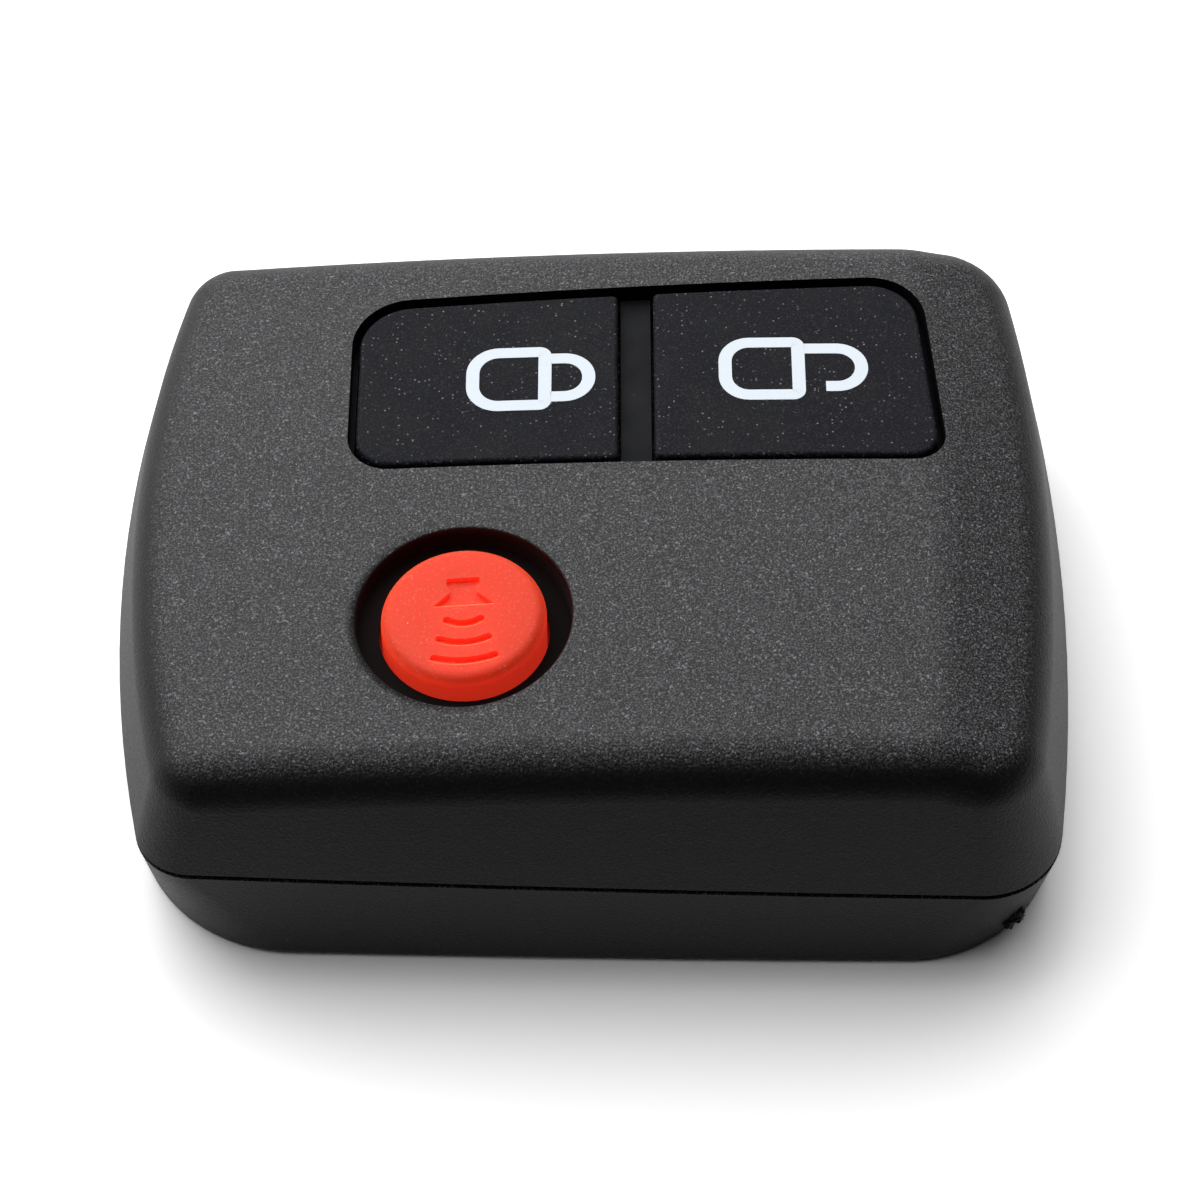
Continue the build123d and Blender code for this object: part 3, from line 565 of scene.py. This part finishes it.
def surfaced(node):
    """A welded, smoothly shaded copy of a CAD node in its finish, which stands for the node."""
    source = frame["nodes"][node].data
    mesh = bpy.data.meshes.new(f"{node}_surface")
    mesh.from_pydata([v.co for v in source.vertices], [], [tuple(p.vertices) for p in source.polygons])
    shape = bmesh.new()
    shape.from_mesh(mesh)
    bmesh.ops.remove_doubles(shape, verts=shape.verts, dist=WELD_DISTANCE)
    smooth_by_angle(shape, CRISP_ANGLE)
    shape.to_mesh(mesh)
    shape.free()
    piece = new_piece(f"{node}_surface", mesh, node, FINISHES[SLOT_OF[node]])
    weighted = piece.modifiers.new("even_shading", "WEIGHTED_NORMAL")
    weighted.keep_sharp = True
    weighted.weight = 80
    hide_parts(node)
    return piece


SURFACES = {node: surfaced(node) for node in frame["nodes"]}


def baked(carrier, recipe, name, node, material, inputs):
    """Runs geometry nodes on a carrier object and keeps the result as a plain piece."""
    modifier = carrier.modifiers.new("shape", "NODES")
    modifier.node_group = recipe
    for item in recipe.interface.items_tree:
        if item.name in inputs:
            modifier[item.identifier] = inputs[item.name]
    graph = bpy.context.evaluated_depsgraph_get()
    mesh = bpy.data.meshes.new_from_object(carrier.evaluated_get(graph))
    mesh.name = name
    mesh.shade_flat()
    bpy.data.objects.remove(carrier)
    return new_piece(name, mesh, node, material)


def sign_path(name, outlines):
    """A flat curve of closed and open outlines, each point carrying its corner's radius."""
    curve = bpy.data.curves.new(name, "CURVE")
    curve.dimensions = "3D"
    for outline, closed in outlines:
        spline = curve.splines.new("POLY")
        spline.points.add(len(outline) - 1)
        spline.use_cyclic_u = closed
        for point, ((x, y), radius) in zip(spline.points, outline):
            point.co = (x * MM, y * MM, 0.0, 1.0)
            point.radius = radius * MM
    path = bpy.data.objects.new(name, curve)
    bpy.context.scene.collection.objects.link(path)
    return path


def painted_line(material):
    """Geometry nodes that lay a painted line with rounded corners along a flat path onto a pad."""
    kinds = {
        "Path": "Geometry",
        "Pad": "Object",
        "Line width": "Float",
        "Paint thickness": "Float",
        "Step": "Float",
        "Drop height": "Float",
    }
    recipe = Recipe("painted_line", kinds)
    given = recipe.given
    corners = {
        "Curve": given["Path"],
        "Count": PAINT_CORNER_POINTS,
        "Limit Radius": True,
        "Radius": recipe.node("GeometryNodeInputRadius"),
    }
    rounded = recipe.node("GeometryNodeFilletCurve", {"mode": "POLY"}, corners)
    steps = {"Curve": rounded, "Length": given["Step"]}
    stepped = recipe.node("GeometryNodeResampleCurve", {"mode": "LENGTH"}, steps)
    level = recipe.node("GeometryNodeSetCurveNormal", {"mode": "Z_UP"}, {"Curve": stepped})
    ends = {
        "Start": recipe.vector(X=given["Line width"] * 0.5),
        "End": recipe.vector(X=given["Line width"] * -0.5),
    }
    profile = recipe.node("GeometryNodeCurvePrimitiveLine", None, ends)
    ribbon = recipe.node("GeometryNodeCurveToMesh", None, {"Curve": level, "Profile Curve": profile})
    rise = {0: recipe.node("GeometryNodeInputPosition"), 1: recipe.vector(Z=given["Drop height"])}
    above = recipe.node("ShaderNodeVectorMath", {"operation": "ADD"}, rise)
    own_frame = {"transform_space": "ORIGINAL"}
    pad = recipe.node("GeometryNodeObjectInfo", own_frame, {"Object": given["Pad"]}, "Geometry")
    cast = {
        "Target Geometry": pad,
        "Source Position": above,
        "Ray Direction": (0.0, 0.0, -1.0),
        "Ray Length": given["Drop height"],
    }
    landed = recipe.node("GeometryNodeRaycast", None, cast, "Hit Position")
    laid = recipe.node("GeometryNodeSetPosition", None, {"Geometry": ribbon, "Position": landed})
    raised = {
        "Mesh": laid,
        "Offset": recipe.vector(Z=given["Paint thickness"]),
        "Offset Scale": 1.0,
        "Individual": False,
    }
    return recipe.finish(recipe.node("GeometryNodeExtrudeMesh", {"mode": "FACES"}, raised), material)


def paint_signs():
    """The closed padlock on the left pad and the open one on the right pad."""
    paint = sign_paint()
    recipe = painted_line(paint)
    signs = (
        ("lock_sign", "lock_button", ((LOCK_BODY, True), (LOCK_SHACKLE, False))),
        ("unlock_sign", "unlock_button", ((UNLOCK_BODY, True), (UNLOCK_SHACKLE, False))),
    )
    for name, pad, outlines in signs:
        inputs = {
            "Pad": SURFACES[pad],
            "Line width": PAINT_WIDTH,
            "Paint thickness": PAINT_THICKNESS,
            "Step": PAINT_STEP,
            "Drop height": PAINT_DROP_HEIGHT,
        }
        baked(sign_path(f"{name}_path", outlines), recipe, name, pad, paint, inputs)


def scattered_lint(material):
    """Geometry nodes that scatter short bent fibres over the upward faces of a surface."""
    kinds = {
        "Surface": "Geometry",
        "Fibres per area": "Float",
        "Fibre length": "Float",
        "Fibre radius": "Float",
        "Seed": "Int",
        "Lowest": "Float",
    }
    recipe = Recipe("scattered_lint", kinds)
    given = recipe.given
    height = recipe.coordinate(recipe.node("GeometryNodeInputPosition"), "Z")
    upward = recipe.coordinate(recipe.node("GeometryNodeInputNormal"), "Z") > LINT_UPRIGHT
    spread = {
        "Mesh": given["Surface"],
        "Density": given["Fibres per area"],
        "Seed": given["Seed"],
        "Selection": upward * (height > given["Lowest"]),
    }
    points = recipe.node("GeometryNodeDistributePointsOnFaces", None, spread)
    half = given["Fibre length"] * 0.5
    bend = {
        "Start": recipe.vector(X=half * -1.0, Z=given["Fibre radius"]),
        "Middle": recipe.vector(Y=half, Z=given["Fibre radius"] * 2.0),
        "End": recipe.vector(X=half, Z=given["Fibre radius"]),
        "Resolution": LINT_BEND_POINTS,
    }
    hair = recipe.node("GeometryNodeCurveQuadraticBezier", None, bend)
    around = {"Resolution": LINT_SIDES, "Radius": given["Fibre radius"]}
    ring = recipe.node("GeometryNodeCurvePrimitiveCircle", None, around)
    tube = {"Curve": hair, "Profile Curve": ring, "Fill Caps": True}
    fibre = recipe.node("GeometryNodeCurveToMesh", None, tube)
    turn = {0: (0.0, 0.0, 0.0), 1: (0.0, 0.0, 2 * pi), "Seed": given["Seed"]}
    size = {0: LINT_SMALLEST, 1: LINT_LARGEST, "Seed": given["Seed"]}
    placed = {
        "Points": points,
        "Instance": fibre,
        "Rotation": recipe.node("FunctionNodeRandomValue", {"data_type": "FLOAT_VECTOR"}, turn),
        "Scale": recipe.node("FunctionNodeRandomValue", {"data_type": "FLOAT_VECTOR"}, size),
    }
    return recipe.finish(recipe.node("GeometryNodeInstanceOnPoints", None, placed), material)


def scatter_lint():
    """Lint on the soft pads and the alarm button, and a little on the case."""
    material = lint_fibre()
    recipe = scattered_lint(material)
    for node, (fibres_per_square_mm, seed) in LINT.items():
        carrier = bpy.data.objects.new(f"{node}_lint_ground", SURFACES[node].data)
        bpy.context.scene.collection.objects.link(carrier)
        inputs = {
            "Fibres per area": fibres_per_square_mm / MM**2,
            "Fibre length": LINT_LENGTH,
            "Fibre radius": LINT_RADIUS,
            "Seed": seed,
            "Lowest": LINT_LOWEST,
        }
        baked(carrier, recipe, f"{node}_lint", node, material, inputs)


def gate_mark():
    """Rough stub where the moulding gate was torn off the lower case."""
    shell = SURFACES["bottom_case"]
    place, normal = shell.closest_point_on_mesh(Vector(GATE_NEAR) * MM)[1:3]
    sideways = Vector((0.0, 0.0, 1.0)).cross(normal).normalized()
    upwards = normal.cross(sideways)
    shape = bmesh.new()
    for (along, up), radius in GATE_LUMPS:
        lump = bmesh.ops.create_icosphere(shape, subdivisions=3, radius=radius * MM)["verts"]
        centre = place + sideways * along * MM + upwards * up * MM + normal * GATE_STAND
        for vertex in lump:
            pattern = vertex.co / GATE_GRAIN + Vector((along, up, 0.0)) * GATE_NOISE_SHIFT
            local = vertex.co * (1.0 + GATE_ROUGHNESS * noise.noise(pattern))
            vertex.co = (
                centre
                + sideways * local.x
                + upwards * local.y * GATE_FLATNESS
                + normal * local.z * GATE_FLATNESS
            )
    bmesh.ops.recalc_face_normals(shape, faces=shape.faces)
    smooth_by_angle(shape, GATE_CRISP_ANGLE)
    mesh = bpy.data.meshes.new("gate_stub")
    shape.to_mesh(mesh)
    shape.free()
    new_piece("gate_stub", mesh, "bottom_case", FINISHES["case_plastic"])


paint_signs()
scatter_lint()
gate_mark()


def paper_floor():
    """A pale sheet that the camera sees as white, and that fades to dark as a light in front of the fob."""
    material = bpy.data.materials.new("floor_paper")
    material.use_nodes = True
    paper = Tree(material.node_tree)
    paper.nodes.clear()
    place = paper.node("ShaderNodeTexCoord", output="Object")
    fibre = paper.node("ShaderNodeTexNoise", None, {"Vector": place, "Scale": 1.0 / FLOOR_MOTTLE_SIZE})
    distance = paper.coordinate(place, "Y").ramp(FLOOR_FADE_START, FLOOR_FADE_END)
    sheet = paper.blend(fibre, grey(FLOOR_LIT - FLOOR_MOTTLE), grey(FLOOR_LIT + FLOOR_MOTTLE))
    lit = paper.blend(distance, sheet, grey(FLOOR_DARK))
    seen = paper.blend(fibre, grey(FLOOR_SEEN - FLOOR_MOTTLE), grey(FLOOR_SEEN + FLOOR_MOTTLE))
    surfaces = {
        0: paper.node("ShaderNodeLightPath", output="Is Camera Ray"),
        1: paper.node("ShaderNodeBsdfDiffuse", None, {"Color": lit}),
        2: paper.node("ShaderNodeBsdfDiffuse", None, {"Color": seen}),
    }
    paper.close("ShaderNodeOutputMaterial", "Surface", paper.node("ShaderNodeMixShader", None, surfaces))
    bpy.ops.mesh.primitive_plane_add(size=FLOOR_SIZE)
    floor = bpy.context.object
    floor.name = "floor"
    floor.data.materials.append(material)


def studio_light():
    """One wide soft lamp behind and above, and a room that darkens towards the camera."""
    toward_lamp = LAMP_SIDE.normalized()
    data = bpy.data.lights.new("softbox", "AREA")
    data.shape = "RECTANGLE"
    data.size = LAMP_LENGTH
    data.size_y = LAMP_WIDTH
    data.energy = LAMP_RADIANCE * pi * data.size * data.size_y
    lamp = bpy.data.objects.new("softbox", data)
    bpy.context.scene.collection.objects.link(lamp)
    lamp.location = toward_lamp
    lamp.rotation_euler = toward_lamp.to_track_quat("Z", "Y").to_euler()

    world = bpy.data.worlds.new("studio")
    world.use_nodes = True
    bpy.context.scene.world = world
    room = Tree(world.node_tree)
    room.nodes.clear()
    direction = room.node("ShaderNodeTexCoord", output="Generated")
    likeness = room.measure("DOT_PRODUCT", direction, ROOM_SIDE.normalized())
    strength = likeness.ramp(ROOM_DARK_BELOW, 1.0, 0.0, ROOM_RADIANCE)
    glow = room.node("ShaderNodeBackground", None, {"Color": grey(1.0), "Strength": strength})
    room.close("ShaderNodeOutputWorld", "Surface", glow)


def camera_of_photo():
    """The camera at the photograph's place and angle."""
    data = bpy.data.cameras.new("camera")
    data.sensor_width = SENSOR_WIDTH
    data.sensor_fit = "HORIZONTAL"
    data.lens = FOCAL_LENGTH
    data.clip_start = 0.01
    camera = bpy.data.objects.new("camera", data)
    bpy.context.scene.collection.objects.link(camera)
    back = Vector((0.0, -cos(CAMERA_ELEVATION), sin(CAMERA_ELEVATION)))
    camera.location = CAMERA_TARGET + back * CAMERA_DISTANCE
    camera.rotation_euler = (pi / 2 - CAMERA_ELEVATION, 0.0, 0.0)
    bpy.context.scene.camera = camera
    bpy.context.scene.view_settings.view_transform = "Standard"


paper_floor()
studio_light()
camera_of_photo()
